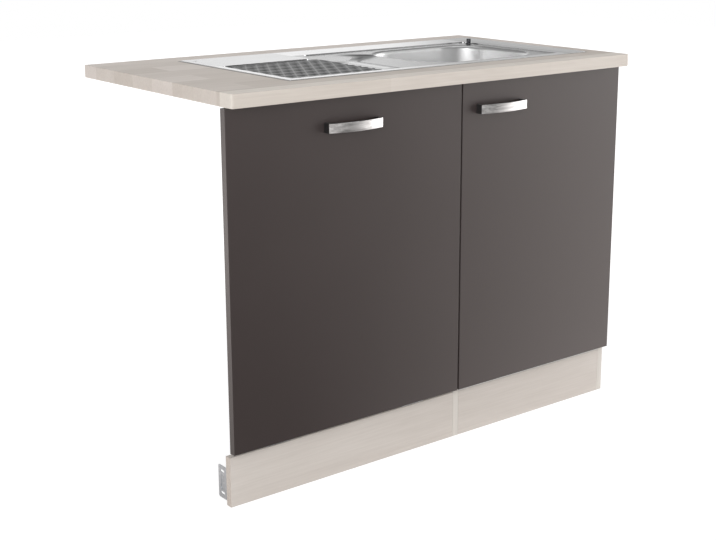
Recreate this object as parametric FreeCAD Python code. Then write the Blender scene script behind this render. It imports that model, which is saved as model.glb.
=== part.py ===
import FreeCAD, Part
import math
import os

# Kitchen sink unit: a 50 cm sink cabinet on the right, an open 60 cm appliance bay on the left,
# one worktop with an inset sink over both, a front and a plinth board on each.
# Millimetres. X runs to the right, Y to the back, Z up; the origin is on the floor, under the
# middle of the worktop.

V = FreeCAD.Vector

# ---------------------------------------------------------------- driving dimensions
bay_width = 600.0
cabinet_width = 500.0
worktop_depth = 600.0
worktop_thickness = 28.0
worktop_corner_radius = 6.0
worktop_edge_radius = 1.2
carcass_height = 820.0
carcass_depth = 554.5
board = 16.0
plinth_height = 108.0
plinth_joint = 0.5
rail_height_front = 70.0
rail_height_rear = 100.0

front_thickness = 16.0
front_standoff = 1.0
front_bottom = 118.0
front_top_gap = 3.0
front_side_reveal = 1.5
front_middle_gap = 4.0
front_edge_round = 0.8

handle_length = 136.0
handle_height = 20.0
handle_foot = 8.0
handle_strap = 4.0
handle_end_projection = 17.0
handle_mid_projection = 26.5
handle_edge_round = 0.8
handle_drop = 59.0
door_handle_inset = 40.0
handle_screw_radius = 2.0
handle_screw_grip = 10.0
handle_screw_recess = 2.6
handle_screw_well = 4.2
handle_screw_head_height = 2.4
handle_foot_step = 1.0

sink_width = 860.0
sink_depth = 435.0
sink_forward = 12.25
sink_corner_radius = 10.0
sink_sheet = 1.0
rim_thickness = 1.6
rim_overlap = 10.0
rim_edge_round = 0.8
deck_step = 2.2
rim_band_left = 18.0
rim_band_front = 20.0
ledge_right = 78.0
ledge_back = 80.0
ledge_back_left = 150.0
ledge_notch_from_bowl = 165.0
ledge_notch_run = 35.0
pocket_corner_radius = 12.0
seal_width = 5.0
seal_thickness = 0.6
seal_inset = 3.0

bowl_width = 350.0
bowl_depth = 150.0
bowl_panel_gap = 2.0
bowl_from_ledge = 17.0
bowl_from_front = 22.0
bowl_from_back = 28.0
bowl_corner_radius = 90.0
bowl_mouth_round = 9.0
bowl_floor_round = 30.0
bowl_draft = 7.0
dimple_radius = 7.0
dimple_depth = 0.6
dimple_from_left = 22.0
dimple_from_back = 34.0

bump_pitch_x = 28.0
bump_pitch_y = 24.0
bump_radius = 8.0
bump_height = 1.2
bump_edge_left = 12.0
bump_edge_front = 14.0
bump_edge_back = 27.0
bump_edge_ridge = 12.0
ridge_from_bowl = 122.0
ridge_from_back = 148.0
ridge_half_width = 22.0
ridge_height = 1.6

clip_width = 15.0
clip_thickness = 1.2
clip_foot = 13.0
clip_drop = 2.5
clip_from_end = 65.0
clip_from_panel = 80.0
clip_gap = 1.0
clip_head_height = 3.0
clip_head_radius = 3.5
clip_thread = 6.0
clip_screw_radius = 2.0

strainer_flange_radius = 56.0
strainer_flange_thickness = 1.0
strainer_cup_radius = 40.0
strainer_cup_wall = 1.0
strainer_cup_depth = 24.0
strainer_slot_radius = 3.0
strainer_slot_circle = 28.0
strainer_slots = 10
waste_gasket_thickness = 2.0
waste_flange_height = 6.0
waste_body_radius = 46.0
waste_body_wall = 3.0
waste_body_depth = 42.0
waste_spigot_length = 16.0
sleeve_radius = 9.0
sleeve_bore = 3.1
plug_radius = 37.0
plug_thickness = 3.0
plug_grip_radius = 9.0
plug_grip_height = 7.0
plug_stem_radius = 3.0

overflow_from_drain = 65.0
overflow_drop = 34.0
overflow_hole_radius = 11.0
rosette_radius = 14.0
rosette_thickness = 1.5
overflow_gasket_thickness = 2.0
elbow_radius = 16.0
elbow_depth = 26.0
elbow_nozzle_length = 20.0
overflow_pipe_radius = 10.0
overflow_pipe_wall = 1.5
overflow_pipe_bend = 30.0
overflow_nozzle_length = 14.0
overflow_seat_gap = 0.9
socket_wall = 2.0

pipe_radius = 20.0
pipe_wall = 2.0
dip_pipe_radius = 16.0
union_nut_radius = 28.0
union_nut_height = 20.0
trap_radius = 36.0
trap_wall = 3.0
trap_top = 560.0
trap_outlet_z = 530.0
trap_bottom = 462.0
trap_cup_depth = 34.0
dip_end = 474.0
outlet_collar_length = 24.0
outlet_nut_length = 18.0
outlet_back_gap = 4.0
outlet_nut_past_collar = 4.0
outlet_seat_relief = 1.0
outlet_shoulder_gap = 0.5
spigot_radius = 11.0
spigot_wall = 2.0
spigot_length = 26.0
spigot_cap_radius = 13.5
spigot_cap_length = 12.0

knob_from_right = 90.0
knob_from_back = 115.0
knob_radius = 5.5
knob_height = 12.0
knob_flat = 3.6
knob_shaft_radius = 3.0
running_clearance = 0.05
knob_lift = 0.3
knob_collar_radius = 8.0
knob_collar_height = 1.0
knob_sleeve_radius = 6.0
knob_sleeve_length = 34.0
knob_nut_radius = 11.0
knob_nut_height = 6.0
cable_radius = 2.5
cable_nozzle_radius = 4.0
cable_nozzle_length = 14.0
cable_level = 668.0
cable_straight = 63.0
cable_turn_out = 30.0
cable_turn_up = 27.0
cable_level_out = 85.0
cable_bend = 85.0

bracket_height = 71.0
bracket_bottom = 10.0
bracket_leg = 30.0
bracket_sheet = 1.5
bracket_corner_radius = 3.5
slot_pitch = 48.0
slot_length = 15.0
slot_width = 5.5
slot_from_bend = 15.5
rib_width = 12.0
rib_length = 34.0
rib_depth = 0.8
bracket_end_gap = 1.0
bracket_hole = 18.0
bracket_screw_pitch = 40.0
bracket_screw_length = 13.0
angle_leg = 20.0
angle_width = 12.0
angle_sheet = 1.5
angle_hole = 12.4
angle_behind_sink = 22.0
side_screw_length = 12.0

screw_radius = 1.8
screw_head_radius = 3.8
screw_head_height = 2.0
screw_length = 14.0

dowel_radius = 4.0
dowel_in_side = 12.0
dowel_in_board = 18.0
cam_bolt_radius = 3.0
cam_bolt_in_side = 11.0
cam_radius = 7.5
cam_depth = 12.5
cam_distance = 24.0
panel_cam_inset_front = 39.5
panel_cam_inset_rear = 65.0
front_rail_cam_height = 20.0
front_rail_dowel_height = 50.0
rear_rail_cam_height = 30.0
rear_rail_dowel_height = 70.0

hinge_from_end = 90.0
hinge_pin_inset = 10.5
hinge_pin_depth = 6.5
hinge_travel = 20.0
cup_inset = 22.5
cup_radius = 17.5
cup_wall = 1.2
cup_depth = 12.0
cup_flange_half_height = 26.0
cup_flange_thickness = 0.7
cup_flange_from_edge = 2.0
cup_screw_from_axis = 4.0
cup_screw_from_end = 4.5
cup_screw_length = 10.0
cup_screw_head_height = 0.25
cup_cheek = 1.1
cup_cheek_gap = 0.2
cup_cheek_front = 3.0
cup_cheek_back = 4.0
link_thickness = 3.0
link_width = 11.0
link_reach_low = 2.2
link_reach = 11.5
link_overlap = 5.0
link_boss_radius = 2.4
link_pin_radius = 1.4
arm_sheet = 1.5
arm_side_gap = 0.5
arm_web_gap = 4.5
arm_nose = 14.0
arm_length = 68.0
plate_thickness = 2.5
plate_half_height = 30.0
plate_front = 32.0
plate_length = 40.0
plate_wing = 18.0
plate_screw_from_front = 8.8
plate_screw_pitch = 44.0
plate_screw_length = 14.0
adjuster_radius = 3.5
adjuster_proud = 1.0
adjuster_from_front = 30.0
bumper_radius = 4.0
bumper_thickness = 0.8
bumper_inset = 7.0
bumper_end_distance = 30.0

drop_pin_radius = 1.5
drop_knuckle_radius = 3.4
drop_leaf = 1.2
drop_hinge_width = 60.0
drop_hinge_inset = 90.0
drop_leaf_up = 34.0
drop_leaf_back = 13.0
drop_rise = 3.8
drop_pivot_depth = 3.5
drop_gap = 0.3
drop_hole_from_end = 9.0
drop_hole_from_edge = 4.5
drop_screw_head = 2.8
drop_screw_head_height = 1.2
drop_screw_length = 12.0
drop_plate_low = 1.0
drop_plate_hole = 16.8

# ---------------------------------------------------------------- derived places
unit_width = bay_width + cabinet_width
left = -unit_width / 2.0
right = unit_width / 2.0
seam = left + bay_width
back = worktop_depth / 2.0
front_edge = -worktop_depth / 2.0
carcass_front = back - carcass_depth
worktop_top = carcass_height + worktop_thickness
inner_left = seam + board
inner_right = right - board

front_back_face = carcass_front - front_standoff
front_face = front_back_face - front_thickness
front_top = carcass_height - front_top_gap

bowl_mouth_left = inner_left + bowl_panel_gap + sink_sheet - bowl_mouth_round
bowl_mouth_right = bowl_mouth_left + bowl_width
sink_right = bowl_mouth_right + bowl_from_ledge + ledge_right
sink_left = sink_right - sink_width
sink_back = (carcass_front + back) / 2.0 - sink_forward + sink_depth / 2.0
sink_front = sink_back - sink_depth
pocket_left = sink_left + rim_band_left
pocket_right = sink_right - ledge_right
pocket_front = sink_front + rim_band_front
pocket_back = sink_back - ledge_back
ledge_notch_x = bowl_mouth_left - ledge_notch_from_bowl
notch_y = sink_back - ledge_back_left
bowl_mouth_front = pocket_front + bowl_from_front
bowl_mouth_back = pocket_back - bowl_from_back
knob_x = sink_right - knob_from_right
knob_y = sink_back - knob_from_back
rim_top = worktop_top + rim_thickness
deck_top = rim_top - deck_step
deck_under = deck_top - sink_sheet
bowl_floor = rim_top - bowl_depth
bowl_under = bowl_floor - sink_sheet
drain_x = (bowl_mouth_left + bowl_mouth_right) / 2.0
drain_y = (bowl_mouth_front + bowl_mouth_back) / 2.0
port_radius = waste_body_radius - waste_body_wall / 2.0

overflow_x = drain_x + overflow_from_drain
overflow_z = rim_top - overflow_drop
overflow_wall_share = (deck_top - overflow_z) / (deck_top - bowl_floor)
overflow_wall_y = bowl_mouth_front + bowl_mouth_round + bowl_draft * overflow_wall_share
gasket_back = overflow_wall_y - sink_sheet - overflow_seat_gap
elbow_face = gasket_back - overflow_gasket_thickness
overflow_drop_y = elbow_face - elbow_depth + overflow_pipe_radius + socket_wall
overflow_way = V(overflow_x - drain_x, overflow_drop_y - drain_y, 0).normalize()
cable_way = V(knob_x - drain_x, knob_y - drain_y, 0).normalize()
overflow_port = V(drain_x, drain_y, cable_level) + overflow_way * port_radius
cable_port = V(drain_x, drain_y, cable_level) + cable_way * port_radius
overflow_port_end = overflow_port + overflow_way * overflow_nozzle_length

hinge_levels = (front_bottom + hinge_from_end, front_top - hinge_from_end)
made = {}


# ---------------------------------------------------------------- solids
def block(x0, x1, y0, y1, z0, z1):
    """A box between two corners."""
    return Part.makeBox(x1 - x0, y1 - y0, z1 - z0, V(x0, y0, z0))


def rod(start, direction, radius, length):
    """A cylinder from a start point along a direction."""
    return Part.makeCylinder(radius, length, start, direction)


def pipe(start, direction, radius, bore, length):
    """A straight round tube."""
    return rod(start, direction, radius, length).cut(rod(start, direction, bore, length))


def rounded_wire(x0, x1, y0, y1, radius, z):
    """A rectangle with round corners, as a wire in a level plane."""
    edges = []
    centres = ((x1 - radius, y0 + radius), (x1 - radius, y1 - radius),
               (x0 + radius, y1 - radius), (x0 + radius, y0 + radius))
    points = []
    for step, (cx, cy) in enumerate(centres):
        for turn in (-90.0, -45.0, 0.0):
            angle = math.radians(90.0 * step + turn)
            points.append(V(cx + radius * math.cos(angle), cy + radius * math.sin(angle), z))
    for step in range(4):
        a, b, c = points[3 * step:3 * step + 3]
        following = points[(3 * step + 3) % 12]
        edges.append(Part.Arc(a, b, c).toShape())
        edges.append(Part.makeLine(c, following))
    return Part.Wire(edges)


def rounded_slab(x0, x1, y0, y1, z0, z1, radius):
    """A plate with round corners seen from above."""
    return Part.Face(rounded_wire(x0, x1, y0, y1, radius, z0)).extrude(V(0, 0, z1 - z0))


def joined(solids):
    """Several touching solids made one."""
    whole = solids[0]
    if len(solids) > 1:
        whole = solids[0].fuse(solids[1:])
    return whole.removeSplitter()


def slot_cutter(centre, along, across, length, width, depth_axis, depth):
    """A long round-ended hole: centre, its direction, the direction across, and its depth."""
    half = (length - width) / 2.0
    start = centre - depth_axis * (depth / 2.0)
    ends = [rod(start + along * side * half, depth_axis, width / 2.0, depth) for side in (-1, 1)]
    corner = start - along * half - across * (width / 2.0)
    outline = [corner, corner + along * 2 * half,
               corner + along * 2 * half + across * width, corner + across * width, corner]
    middle = Part.Face(Part.makePolygon(outline)).extrude(depth_axis * depth)
    return middle.fuse(ends)


def screw(seat, direction, length=screw_length, radius=screw_radius,
          head_radius=screw_head_radius, head_height=screw_head_height):
    """A pan head screw: seat is where the head meets the sheet, direction is into the wood."""
    head = rod(seat - direction * head_height, direction, head_radius, head_height)
    drive = rod(seat - direction * head_height, direction, head_radius * 0.3, head_height * 0.5)
    return head.cut(drive).fuse(rod(seat, direction, radius, length)).removeSplitter()


def bent_path(points, bend):
    """Straight runs joined by tangent arcs of one radius."""
    edges = []
    start = points[0]
    for before, corner, after in zip(points, points[1:], points[2:]):
        into = (corner - before).normalize()
        out = (after - corner).normalize()
        turn = into.getAngle(out)
        cut_back = bend * math.tan(turn / 2.0)
        first = corner - into * cut_back
        last = corner + out * cut_back
        inward = (out - into).normalize()
        centre = corner + inward * (bend / math.cos(turn / 2.0))
        middle = centre - inward * bend
        edges.append(Part.makeLine(start, first))
        edges.append(Part.Arc(first, middle, last).toShape())
        start = last
    edges.append(Part.makeLine(start, points[-1]))
    return Part.Wire(edges)


def bent_tube(points, radius, bend, bore=0.0):
    """A tube, or a full rod when bore is 0, along a bent path."""
    path = bent_path(points, bend)
    direction = (points[1] - points[0]).normalize()

    def swept(size):
        circle = Part.Wire(Part.makeCircle(size, points[0], direction))
        return path.makePipeShell([circle], True, False)

    outside = swept(radius)
    return outside.cut(swept(bore)) if bore else outside


def keep(name, solids):
    """Store a node, as one solid or as several separate ones, and check it."""
    solids = solids if isinstance(solids, (list, tuple)) else [solids]
    parts = [solid for shape in solids for solid in shape.Solids]
    for solid in parts:
        if not solid.isValid():
            raise ValueError("bad solid in " + name)
    made[name] = parts[0] if len(parts) == 1 else Part.makeCompound(parts)


def bored(shape, cutters):
    """A board with the holes that its fasteners need."""
    return shape.cut(Part.makeCompound(cutters))


# ---------------------------------------------------------------- fasteners inside the boards
# Dowels and cam fittings at each end of the bottom panel and of the three rails.
dowels = []
cam_bolts = []
cam_locks = []


def end_fittings(dowel_spots, cam_spots, lock_direction, lock_face):
    """Dowels and cams at both ends of a board that runs from side panel to side panel."""
    for x, inward in ((inner_left, 1.0), (inner_right, -1.0)):
        way = V(inward, 0, 0)
        for y, z in dowel_spots:
            start = V(x, y, z) - way * dowel_in_side
            dowels.append(rod(start, way, dowel_radius, dowel_in_side + dowel_in_board))
        for y, z in cam_spots:
            start = V(x, y, z) - way * cam_bolt_in_side
            bolt = rod(start, way, cam_bolt_radius, cam_bolt_in_side + cam_distance)
            centre = V(x, y, z) + way * cam_distance
            seat = lock_face(centre)
            lock = rod(seat, lock_direction, cam_radius, cam_depth)
            cam_bolts.append(bolt)
            cam_locks.append(lock.cut(bolt))


floor_level = plinth_height + board
floor_middle = plinth_height + board / 2.0
rail_front_middle = carcass_front + board / 2.0
rail_rear_middle = back - board / 2.0
rail_front_low = carcass_height - rail_height_front
rail_rear_low = carcass_height - rail_height_rear
cam_row_front = carcass_front + panel_cam_inset_front
cam_row_rear = back - panel_cam_inset_rear
cam_row_middle = (cam_row_front + cam_row_rear) / 2.0
end_fittings((((cam_row_front + cam_row_middle) / 2.0, floor_middle),
              ((cam_row_middle + cam_row_rear) / 2.0, floor_middle)),
             [(y, floor_middle) for y in (cam_row_front, cam_row_middle, cam_row_rear)],
             V(0, 0, 1), lambda c: V(c.x, c.y, plinth_height))
end_fittings(((rail_front_middle, rail_front_low + front_rail_dowel_height),),
             ((rail_front_middle, rail_front_low + front_rail_cam_height),),
             V(0, -1, 0), lambda c: V(c.x, carcass_front + board, c.z))
end_fittings(((rail_rear_middle, rail_rear_low + rear_rail_dowel_height),),
             ((rail_rear_middle, rail_rear_low + rear_rail_cam_height),),
             V(0, 1, 0), lambda c: V(c.x, back - board, c.z))
end_fittings(((rail_rear_middle, floor_level + rear_rail_dowel_height),),
             ((rail_rear_middle, floor_level + rear_rail_cam_height),),
             V(0, 1, 0), lambda c: V(c.x, back - board, c.z))
board_fittings = dowels + cam_bolts + cam_locks
keep("dowels", dowels)
keep("cam_bolts", cam_bolts)
keep("cam_locks", cam_locks)

# ---------------------------------------------------------------- worktop fixings
# Four small steel angles hold the worktop down on the side panels.
worktop_angles = []
worktop_angle_screws = []
cut_out_front = sink_front + rim_overlap
cut_out_back = sink_back - rim_overlap
angle_front_y = (carcass_front + board + cut_out_front) / 2.0
angle_rear_y = cut_out_back + angle_behind_sink
for x, inward in ((inner_left, 1.0), (inner_right, -1.0)):
    for y in (angle_front_y, angle_rear_y):
        y0 = y - angle_width / 2.0
        y1 = y + angle_width / 2.0
        tip = x + inward * angle_leg
        inner = x + inward * angle_sheet
        level_leg = block(min(x, tip), max(x, tip), y0, y1,
                          carcass_height - angle_sheet, carcass_height)
        upright_leg = block(min(x, inner), max(x, inner), y0, y1,
                            carcass_height - angle_leg, carcass_height)
        up_screw = screw(V(x + inward * angle_hole, y, carcass_height - angle_sheet), V(0, 0, 1))
        side_screw = screw(V(inner, y, carcass_height - angle_hole), V(-inward, 0, 0),
                           length=side_screw_length)
        worktop_angle_screws += [up_screw, side_screw]
        worktop_angles.append(joined([level_leg, upright_leg]).cut(up_screw).cut(side_screw))
keep("worktop_angles", worktop_angles)
keep("worktop_angle_screws", worktop_angle_screws)

# ---------------------------------------------------------------- worktop
cut_out = rounded_slab(sink_left + rim_overlap, sink_right - rim_overlap, cut_out_front, cut_out_back,
                       carcass_height, worktop_top, sink_corner_radius)
slab = block(left, right, front_edge, back, carcass_height, worktop_top)
front_corners = [e for e in slab.Edges
                 if e.BoundBox.ZLength > worktop_thickness / 2.0 and e.BoundBox.YMin < 0]
slab = slab.makeFillet(worktop_corner_radius, front_corners)
long_edges = [e for e in slab.Edges
              if e.BoundBox.ZLength < 0.01 and e.BoundBox.YMin < back - 1.0]
slab = slab.makeFillet(worktop_edge_radius, long_edges)
keep("worktop", bored(slab.cut(cut_out), worktop_angle_screws))

# ---------------------------------------------------------------- plinth fixings
# The appliance bay's plinth board has a slotted steel angle at each end; the cabinet's has
# two plain angles to the side panels.
plinth_back = carcass_front + board
plinth_top = plinth_height - plinth_joint
bay_plinth_left = left + bracket_end_gap
bay_plinth_right = seam - plinth_joint
bracket_top = bracket_bottom + bracket_height
bracket_middle = bracket_bottom + bracket_height / 2.0


def slotted_bracket(outer_x, inward):
    """A steel angle: one leg on the board's back, the other square to it with two slots."""
    inner_x = outer_x + inward * bracket_sheet
    tip_x = outer_x + inward * bracket_leg
    tip_y = plinth_back + bracket_leg
    across = block(min(outer_x, tip_x), max(outer_x, tip_x), plinth_back,
                   plinth_back + bracket_sheet, bracket_bottom, bracket_top)
    away = block(min(outer_x, inner_x), max(outer_x, inner_x), plinth_back, tip_y,
                 bracket_bottom, bracket_top)
    along_x = [e for e in away.Edges
               if e.BoundBox.XLength > bracket_sheet / 2.0 and e.BoundBox.YMin > tip_y - 0.01]
    away = away.makeFillet(bracket_corner_radius, along_x)
    along_y = [e for e in across.Edges if e.BoundBox.YLength > bracket_sheet / 2.0
               and abs(e.BoundBox.Center.x - tip_x) < 0.01]
    across = across.makeFillet(bracket_corner_radius, along_y)
    shape = joined([across, away])
    slot_y = plinth_back + slot_from_bend
    for side in (-1, 1):
        z = bracket_middle + side * slot_pitch / 2.0
        middle_x = (outer_x + inner_x) / 2.0
        shape = shape.cut(slot_cutter(V(middle_x, slot_y, z), V(0, 1, 0), V(0, 0, 1),
                                      slot_length, slot_width, V(1, 0, 0), 4 * bracket_sheet))
    rib_x = outer_x + inward * rib_depth / 2.0
    rib = slot_cutter(V(rib_x, slot_y, bracket_middle), V(0, 0, 1), V(0, 1, 0),
                      rib_length, rib_width, V(1, 0, 0), rib_depth)
    bead = slot_cutter(V(inner_x + inward * rib_depth / 2.0, slot_y, bracket_middle), V(0, 0, 1),
                       V(0, 1, 0), rib_length - bracket_sheet, rib_width - bracket_sheet,
                       V(1, 0, 0), rib_depth)
    return shape.fuse(bead).cut(rib).removeSplitter()


def angle_screws(outer_x, inward):
    """Two screws through a bracket's leg into the plinth board's back."""
    x = outer_x + inward * bracket_hole
    seat = plinth_back + bracket_sheet
    return [screw(V(x, seat, bracket_middle + side * bracket_screw_pitch / 2.0), V(0, -1, 0),
                  length=bracket_screw_length) for side in (-1, 1)]


left_bracket_screws = angle_screws(bay_plinth_left, 1.0)
right_bracket_screws = angle_screws(seam, -1.0)
panel_screws = [screw(V(seam - bracket_sheet, plinth_back + slot_from_bend,
                        bracket_middle + side * slot_pitch / 2.0), V(1, 0, 0), length=bracket_screw_length)
                for side in (-1, 1)]
bracket_screws = left_bracket_screws + right_bracket_screws + panel_screws
keep("plinth_bracket_left", bored(slotted_bracket(bay_plinth_left, 1.0), left_bracket_screws))
keep("plinth_bracket_right", bored(slotted_bracket(seam, -1.0), right_bracket_screws))
keep("plinth_bracket_screws", bracket_screws)

cabinet_angles = []
cabinet_angle_screws = []
cabinet_angle_z = plinth_height / 2.0
for x, inward in ((inner_left, 1.0), (inner_right, -1.0)):
    z0 = cabinet_angle_z - angle_width / 2.0
    z1 = cabinet_angle_z + angle_width / 2.0
    tip = x + inward * (angle_leg + plinth_joint)
    inner = x + inward * angle_sheet
    on_plinth = block(min(x, tip), max(x, tip), plinth_back, plinth_back + angle_sheet, z0, z1)
    on_panel = block(min(x, inner), max(x, inner), plinth_back, plinth_back + angle_leg, z0, z1)
    first = screw(V(x + inward * angle_hole, plinth_back + angle_sheet, cabinet_angle_z),
                  V(0, -1, 0), length=side_screw_length)
    second = screw(V(inner, plinth_back + angle_hole, cabinet_angle_z), V(-inward, 0, 0),
                   length=side_screw_length)
    cabinet_angle_screws += [first, second]
    cabinet_angles.append(joined([on_plinth, on_panel]).cut(first).cut(second))
keep("cabinet_plinth_angles", cabinet_angles)
keep("cabinet_plinth_screws", cabinet_angle_screws)

# ---------------------------------------------------------------- drop hinges of the appliance front
# Two butt hinges stand on the bay's plinth board. Their pivot lies behind the front's back
# face and just under its lower edge, so that the front clears the plinth as it drops.
drop_pivot_y = front_back_face + drop_pivot_depth
drop_pivot_z = plinth_top + drop_rise
knuckle = (drop_hinge_width - 2 * drop_gap) / 3.0
fixed_leaves = []
moving_leaves = []
drop_pins = []
fixed_leaf_screws = []
moving_leaf_screws = []
drop_hinge_places = (bay_plinth_left + drop_hinge_inset,
                     bay_plinth_right - drop_hinge_inset - drop_hinge_width)


def knuckle_tube(x0, length):
    """One barrel of the butt hinge."""
    return pipe(V(x0, drop_pivot_y, drop_pivot_z), V(1, 0, 0), drop_knuckle_radius,
                drop_pin_radius + running_clearance, length)


for x0 in drop_hinge_places:
    x1 = x0 + drop_hinge_width
    middle_0 = x0 + knuckle + drop_gap
    middle_1 = middle_0 + knuckle
    leaf_back = drop_pivot_y + drop_leaf_back
    barrels = [knuckle_tube(x0, knuckle), knuckle_tube(x1 - knuckle, knuckle)]
    shells = [rod(V(start, drop_pivot_y, drop_pivot_z), V(1, 0, 0), drop_pin_radius + running_clearance,
                  knuckle) for start in (x0, x1 - knuckle)]
    flat = block(x0, x1, drop_pivot_y, leaf_back, plinth_top, plinth_top + drop_leaf)
    relief = block(middle_0 - drop_gap, middle_1 + drop_gap, drop_pivot_y,
                   drop_pivot_y + drop_knuckle_radius + 2 * drop_gap,
                   plinth_top, plinth_top + drop_leaf)
    flat = flat.cut(relief)
    hole_places = (x0 + drop_hole_from_end, x1 - drop_hole_from_end)
    screws_down = [screw(V(x, leaf_back - drop_hole_from_edge, plinth_top + drop_leaf), V(0, 0, -1),
                         head_radius=drop_screw_head, head_height=drop_screw_head_height)
                   for x in hole_places]
    fixed = joined([flat] + barrels).cut(Part.makeCompound(screws_down + shells))
    fixed_leaves.append(fixed)
    fixed_leaf_screws += screws_down
    moving_barrel = knuckle_tube(middle_0, knuckle)
    lower_strip = block(middle_0, middle_1, front_back_face, front_back_face + drop_leaf,
                        drop_pivot_z, front_bottom + 2 * drop_plate_low)
    plate = block(x0, x1, front_back_face, front_back_face + drop_leaf,
                  front_bottom + drop_plate_low, drop_pivot_z + drop_leaf_up)
    screws_in = [screw(V(x, front_back_face + drop_leaf, front_bottom + drop_plate_hole),
                       V(0, -1, 0), length=drop_screw_length) for x in hole_places]
    bore = rod(V(middle_0, drop_pivot_y, drop_pivot_z), V(1, 0, 0),
               drop_pin_radius + running_clearance, knuckle)
    moving = joined([plate, lower_strip, moving_barrel]).cut(Part.makeCompound(screws_in + [bore]))
    moving_leaves.append(moving)
    moving_leaf_screws += screws_in
    drop_pins.append(rod(V(x0, drop_pivot_y, drop_pivot_z), V(1, 0, 0), drop_pin_radius,
                         drop_hinge_width))
keep("front_hinge_lower_leaves", fixed_leaves)
keep("front_hinge_upper_leaves", moving_leaves)
keep("front_hinge_pins", drop_pins)
keep("front_hinge_lower_screws", fixed_leaf_screws)
keep("front_hinge_upper_screws", moving_leaf_screws)

# ---------------------------------------------------------------- plinth boards
bay_plinth = block(bay_plinth_left, bay_plinth_right, carcass_front, plinth_back, 0.0, plinth_top)
keep("plinth_appliance_bay",
     bored(bay_plinth, left_bracket_screws + right_bracket_screws + fixed_leaf_screws))
cabinet_plinth = block(inner_left + plinth_joint, inner_right - plinth_joint,
                       carcass_front, plinth_back, 0.0, plinth_top)
keep("plinth_cabinet", bored(cabinet_plinth, cabinet_angle_screws))

# ---------------------------------------------------------------- concealed door hinges
# The four-link mechanism is reduced to a link pack that slides out of its arm while the door
# turns about the pin in the cup.
door_left = seam + front_middle_gap / 2.0
door_right = right - front_side_reveal
pin_x = door_right - hinge_pin_inset
pin_y = front_back_face - hinge_pin_depth
cup_x = door_right - cup_inset
plate_face = inner_right - plate_thickness
link_x = pin_x - link_reach
link_tail = hinge_travel + arm_nose + link_overlap
arm_inner = link_width / 2.0 + arm_side_gap
arm_outer = arm_inner + arm_sheet
arm_web_x = link_x - link_thickness / 2.0 - arm_web_gap
arm_front_y = pin_y + arm_nose
plate_y0 = pin_y + plate_front
hinge_cups = []
cup_screws = []
hinge_links = []
hinge_arms = []
hinge_plates = []
plate_screws = []
cup_pockets = []
for z in hinge_levels:
    pot = rod(V(cup_x, front_back_face, z), V(0, -1, 0), cup_radius, cup_depth)
    hollow = rod(V(cup_x, front_back_face, z), V(0, -1, 0), cup_radius - cup_wall,
                 cup_depth - cup_wall)
    flange_edge = cup_radius - cup_flange_from_edge
    flange = block(cup_x - flange_edge,
                   min(cup_x + flange_edge, inner_right - cup_flange_from_edge),
                   front_back_face, front_back_face + cup_flange_thickness,
                   z - cup_flange_half_height, z + cup_flange_half_height)
    mouth = rod(V(cup_x, front_back_face, z), V(0, 1, 0), cup_radius - cup_wall,
                cup_flange_thickness)
    door_screws = [screw(V(cup_x - cup_screw_from_axis, front_back_face + cup_flange_thickness,
                           z + side * (cup_flange_half_height - cup_screw_from_end)), V(0, -1, 0),
                         length=cup_screw_length, head_height=cup_screw_head_height)
                   for side in (-1, 1)]
    pin_hole_height = link_width + 2 * cup_wall
    pin = rod(V(pin_x, pin_y, z - pin_hole_height / 2.0), V(0, 0, 1), link_pin_radius,
              pin_hole_height)
    cheek_low = link_width / 2.0 + cup_cheek_gap
    pin_cheeks = [block(pin_x - cup_cheek_front, cup_x + cup_radius - cup_wall / 2.0,
                        pin_y - cup_cheek_back, pin_y + cup_cheek_front, level, level + cup_cheek)
                  for level in (z + cheek_low, z - cheek_low - cup_cheek)]
    cup = joined([pot, flange]).cut(Part.makeCompound([hollow, mouth] + door_screws))
    cup = joined([cup, pin] + [cheek.common(pot) for cheek in pin_cheeks])
    hinge_cups.append(cup)
    cup_screws += door_screws
    cup_pockets.append(pot)

    half = link_width / 2.0
    boss = rod(V(pin_x, pin_y, z - half), V(0, 0, 1), link_boss_radius, link_width)
    reach_y = pin_y - link_reach_low
    reach = block(link_x - link_thickness / 2.0, pin_x, reach_y, reach_y + link_thickness,
                  z - half, z + half)
    tail = block(link_x - link_thickness / 2.0, link_x + link_thickness / 2.0, reach_y,
                 pin_y + link_tail, z - half, z + half)
    eye = rod(V(pin_x, pin_y, z - half), V(0, 0, 1), link_pin_radius + running_clearance, link_width)
    hinge_links.append(joined([boss, reach, tail]).cut(eye))

    web = block(arm_web_x, arm_web_x + arm_sheet, arm_front_y, arm_front_y + arm_length,
                z - arm_outer, z + arm_outer)
    cheeks = [block(arm_web_x, plate_face, arm_front_y, arm_front_y + arm_length,
                    min(z + side * arm_inner, z + side * arm_outer),
                    max(z + side * arm_inner, z + side * arm_outer)) for side in (-1, 1)]
    adjuster = rod(V(arm_web_x - adjuster_proud, plate_y0 + adjuster_from_front, z), V(1, 0, 0),
                   adjuster_radius, plate_face - arm_web_x + adjuster_proud)
    hinge_arms.append(joined([web] + cheeks + [adjuster]))

    wing = block(plate_face, inner_right, plate_y0, plate_y0 + plate_length, z - arm_outer,
                 z + arm_outer)
    cross = block(plate_face, inner_right, plate_y0, plate_y0 + plate_wing,
                  z - plate_half_height, z + plate_half_height)
    fixings = [screw(V(plate_face, plate_y0 + plate_screw_from_front,
                       z + side * plate_screw_pitch / 2.0), V(1, 0, 0),
                     length=plate_screw_length) for side in (-1, 1)]
    hinge_plates.append(joined([wing, cross]).cut(Part.makeCompound(fixings)))
    plate_screws += fixings
keep("hinge_cups", hinge_cups)
keep("hinge_cup_screws", cup_screws)
keep("hinge_links", hinge_links)
keep("hinge_arms", hinge_arms)
keep("hinge_mounting_plates", hinge_plates)
keep("hinge_plate_screws", plate_screws)

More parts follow.
